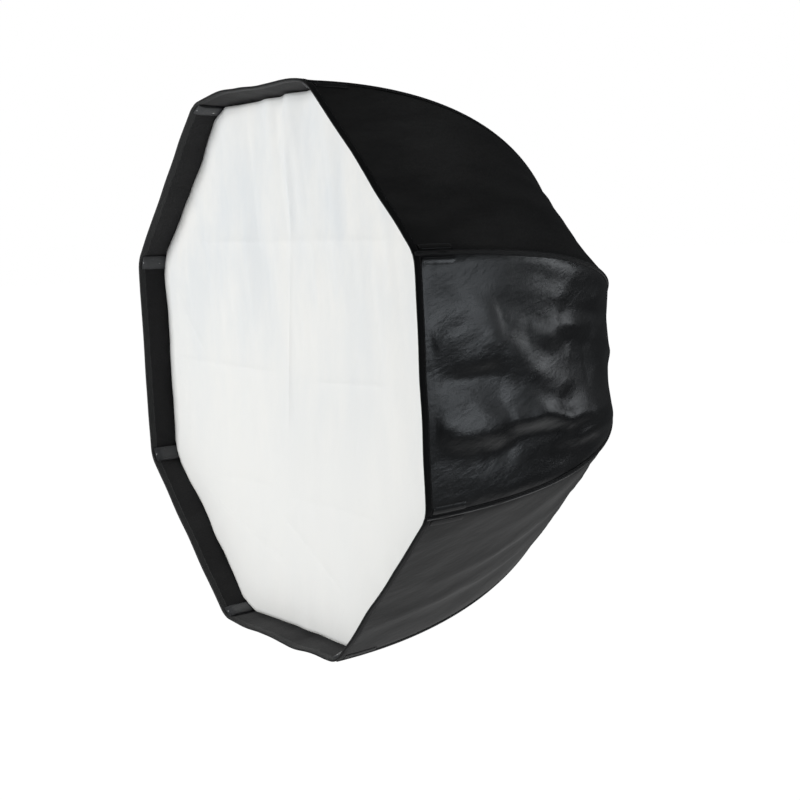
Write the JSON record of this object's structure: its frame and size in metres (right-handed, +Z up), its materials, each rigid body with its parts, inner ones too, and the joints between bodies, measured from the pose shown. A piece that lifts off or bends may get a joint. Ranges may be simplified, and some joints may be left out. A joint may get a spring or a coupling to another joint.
{
  "type": "octagonal softbox",
  "caption": "Octagonal fabric softbox on a folding umbrella frame, with a recessed white front diffuser and a rear bayonet mount for a studio flash.",
  "frame": {"origin": "centre of the bayonet flange's rear face, on the optical axis", "axes": "+Y back toward the flash head, so light leaves toward -Y; +Z up; +X to the right of someone who looks along +Y into the mouth"},
  "size_m": [0.7392, 0.541, 0.7392],
  "materials": {
    "mount_metal": "brushed and clear anodised",
    "hub_plastic": "fine moulded grain",
    "button_plastic": "smooth moulded",
    "steel_wire": "bright drawn wire",
    "rib_steel": "bright drawn rod",
    "stretcher_steel": "zinc plated strip",
    "shell_fabric": "coated black nylon with a silver lining",
    "diffuser_fabric": "white woven nylon, matte",
    "loop_tape": "brushed loop tape",
    "pocket_fabric": "satin webbing",
    "cuff_fabric": "bound webbing"
  },
  "bodies": {
    "mount": {"bayonet_ring": "mount_metal", "neck_tube": "mount_metal", "latch_housing": "hub_plastic", "hub_ring": "hub_plastic", "rear_cuff": "cuff_fabric", "rib_hinge_wire": "steel_wire"},
    "runner": {"runner_ring": "hub_plastic", "stretcher_hinge_wire": "steel_wire"},
    "diffuser": {"front_diffuser": "diffuser_fabric", "diffuser_hook_tape": "diffuser_fabric"},
    "button_right": {"release_button_right": "button_plastic"},
    "button_left": {"release_button_left": "button_plastic"},
    "rib_body_1": {"rib_1": "rib_steel", "rib_clip_1": "hub_plastic", "corner_pocket_1": "pocket_fabric", "shell_panel_1": "shell_fabric", "lip_tape_1": "loop_tape"},
    "stretcher_body_1": {"stretcher_1": "stretcher_steel"},
    "rib_body_2": {"rib_2": "rib_steel", "rib_clip_2": "hub_plastic", "corner_pocket_2": "pocket_fabric", "shell_panel_2": "shell_fabric", "lip_tape_2": "loop_tape"},
    "stretcher_body_2": {"stretcher_2": "stretcher_steel"},
    "rib_body_3": {"rib_3": "rib_steel", "rib_clip_3": "hub_plastic", "corner_pocket_3": "pocket_fabric", "shell_panel_3": "shell_fabric", "lip_tape_3": "loop_tape"},
    "stretcher_body_3": {"stretcher_3": "stretcher_steel"},
    "rib_body_4": {"rib_4": "rib_steel", "rib_clip_4": "hub_plastic", "corner_pocket_4": "pocket_fabric", "shell_panel_4": "shell_fabric", "lip_tape_4": "loop_tape"},
    "stretcher_body_4": {"stretcher_4": "stretcher_steel"},
    "rib_body_5": {"rib_5": "rib_steel", "rib_clip_5": "hub_plastic", "corner_pocket_5": "pocket_fabric", "shell_panel_5": "shell_fabric", "lip_tape_5": "loop_tape"},
    "stretcher_body_5": {"stretcher_5": "stretcher_steel"},
    "rib_body_6": {"rib_6": "rib_steel", "rib_clip_6": "hub_plastic", "corner_pocket_6": "pocket_fabric", "shell_panel_6": "shell_fabric", "lip_tape_6": "loop_tape"},
    "stretcher_body_6": {"stretcher_6": "stretcher_steel"},
    "rib_body_7": {"rib_7": "rib_steel", "rib_clip_7": "hub_plastic", "corner_pocket_7": "pocket_fabric", "shell_panel_7": "shell_fabric", "lip_tape_7": "loop_tape"},
    "stretcher_body_7": {"stretcher_7": "stretcher_steel"},
    "rib_body_8": {"rib_8": "rib_steel", "rib_clip_8": "hub_plastic", "corner_pocket_8": "pocket_fabric", "shell_panel_8": "shell_fabric", "lip_tape_8": "loop_tape"},
    "stretcher_body_8": {"stretcher_8": "stretcher_steel"}
  },
  "joints": [
    {"name": "runner_slide", "type": "slide", "parent": "mount", "child": "runner", "axis": [0, -1, 0], "range_m": [0, 0.04123]},
    {"name": "rib_hinge_1", "type": "hinge", "parent": "mount", "child": "rib_body_1", "pos_m": [0.06098, -0.0315, 0.02526], "axis": [0.3827, 0, -0.9239], "range_deg": [0, 35.01], "deforming": ["shell_panel_1", "lip_tape_1"]},
    {"name": "stretcher_hinge_1", "type": "hinge", "parent": "runner", "child": "stretcher_body_1", "pos_m": [0.05728, -0.0865, 0.02373], "axis": [-0.3827, 0, 0.9239], "range_deg": [0, 26.93]},
    {"name": "rib_hinge_2", "type": "hinge", "parent": "mount", "child": "rib_body_2", "pos_m": [0.02526, -0.0315, 0.06098], "axis": [0.9239, 0, -0.3827], "range_deg": [0, 35.01], "deforming": ["shell_panel_2", "lip_tape_2"]},
    {"name": "stretcher_hinge_2", "type": "hinge", "parent": "runner", "child": "stretcher_body_2", "pos_m": [0.02373, -0.0865, 0.05728], "axis": [-0.9239, 0, 0.3827], "range_deg": [0, 26.93]},
    {"name": "rib_hinge_3", "type": "hinge", "parent": "mount", "child": "rib_body_3", "pos_m": [-0.02526, -0.0315, 0.06098], "axis": [0.9239, 0, 0.3827], "range_deg": [0, 35.01], "deforming": ["shell_panel_3", "lip_tape_3"]},
    {"name": "stretcher_hinge_3", "type": "hinge", "parent": "runner", "child": "stretcher_body_3", "pos_m": [-0.02373, -0.0865, 0.05728], "axis": [-0.9239, 0, -0.3827], "range_deg": [0, 26.93]},
    {"name": "rib_hinge_4", "type": "hinge", "parent": "mount", "child": "rib_body_4", "pos_m": [-0.06098, -0.0315, 0.02526], "axis": [0.3827, 0, 0.9239], "range_deg": [0, 35.01], "deforming": ["shell_panel_4", "lip_tape_4"]},
    {"name": "stretcher_hinge_4", "type": "hinge", "parent": "runner", "child": "stretcher_body_4", "pos_m": [-0.05728, -0.0865, 0.02373], "axis": [-0.3827, 0, -0.9239], "range_deg": [0, 26.93]},
    {"name": "rib_hinge_5", "type": "hinge", "parent": "mount", "child": "rib_body_5", "pos_m": [-0.06098, -0.0315, -0.02526], "axis": [-0.3827, 0, 0.9239], "range_deg": [0, 35.01], "deforming": ["shell_panel_5", "lip_tape_5"]},
    {"name": "stretcher_hinge_5", "type": "hinge", "parent": "runner", "child": "stretcher_body_5", "pos_m": [-0.05728, -0.0865, -0.02373], "axis": [0.3827, 0, -0.9239], "range_deg": [0, 26.93]},
    {"name": "rib_hinge_6", "type": "hinge", "parent": "mount", "child": "rib_body_6", "pos_m": [-0.02526, -0.0315, -0.06098], "axis": [-0.9239, 0, 0.3827], "range_deg": [0, 35.01], "deforming": ["shell_panel_6", "lip_tape_6"]},
    {"name": "stretcher_hinge_6", "type": "hinge", "parent": "runner", "child": "stretcher_body_6", "pos_m": [-0.02373, -0.0865, -0.05728], "axis": [0.9239, 0, -0.3827], "range_deg": [0, 26.93]},
    {"name": "rib_hinge_7", "type": "hinge", "parent": "mount", "child": "rib_body_7", "pos_m": [0.02526, -0.0315, -0.06098], "axis": [-0.9239, 0, -0.3827], "range_deg": [0, 35.01], "deforming": ["shell_panel_7", "lip_tape_7"]},
    {"name": "stretcher_hinge_7", "type": "hinge", "parent": "runner", "child": "stretcher_body_7", "pos_m": [0.02373, -0.0865, -0.05728], "axis": [0.9239, 0, 0.3827], "range_deg": [0, 26.93]},
    {"name": "rib_hinge_8", "type": "hinge", "parent": "mount", "child": "rib_body_8", "pos_m": [0.06098, -0.0315, -0.02526], "axis": [-0.3827, 0, -0.9239], "range_deg": [0, 35.01], "deforming": ["shell_panel_8", "lip_tape_8"]},
    {"name": "stretcher_hinge_8", "type": "hinge", "parent": "runner", "child": "stretcher_body_8", "pos_m": [0.05728, -0.0865, -0.02373], "axis": [0.3827, 0, 0.9239], "range_deg": [0, 26.93]},
    {"name": "diffuser_carry", "type": "slide", "parent": "mount", "child": "diffuser", "axis": [0, -1, 0], "range_m": [0, 0.1005], "deforming": ["front_diffuser", "diffuser_hook_tape"]},
    {"name": "button_right_press", "type": "slide", "parent": "mount", "child": "button_right", "axis": [-1, 0, 0], "range_m": [0, 0.0032], "stiffness_N_per_m": 400, "springref_m": -0.004},
    {"name": "button_left_press", "type": "slide", "parent": "mount", "child": "button_left", "axis": [1, 0, 0], "range_m": [0, 0.0032], "stiffness_N_per_m": 400, "springref_m": -0.004}
  ],
  "couplings": [
    {"joint": "rib_hinge_1", "follows": "runner_slide", "rad_per_m": 14.815},
    {"joint": "stretcher_hinge_1", "follows": "runner_slide", "rad_per_m": 11.39},
    {"joint": "rib_hinge_2", "follows": "runner_slide", "rad_per_m": 14.815},
    {"joint": "stretcher_hinge_2", "follows": "runner_slide", "rad_per_m": 11.39},
    {"joint": "rib_hinge_3", "follows": "runner_slide", "rad_per_m": 14.815},
    {"joint": "stretcher_hinge_3", "follows": "runner_slide", "rad_per_m": 11.39},
    {"joint": "rib_hinge_4", "follows": "runner_slide", "rad_per_m": 14.815},
    {"joint": "stretcher_hinge_4", "follows": "runner_slide", "rad_per_m": 11.39},
    {"joint": "rib_hinge_5", "follows": "runner_slide", "rad_per_m": 14.815},
    {"joint": "stretcher_hinge_5", "follows": "runner_slide", "rad_per_m": 11.39},
    {"joint": "rib_hinge_6", "follows": "runner_slide", "rad_per_m": 14.815},
    {"joint": "stretcher_hinge_6", "follows": "runner_slide", "rad_per_m": 11.39},
    {"joint": "rib_hinge_7", "follows": "runner_slide", "rad_per_m": 14.815},
    {"joint": "stretcher_hinge_7", "follows": "runner_slide", "rad_per_m": 11.39},
    {"joint": "rib_hinge_8", "follows": "runner_slide", "rad_per_m": 14.815},
    {"joint": "stretcher_hinge_8", "follows": "runner_slide", "rad_per_m": 11.39},
    {"joint": "diffuser_carry", "follows": "runner_slide", "ratio": 2.4253}
  ]
}
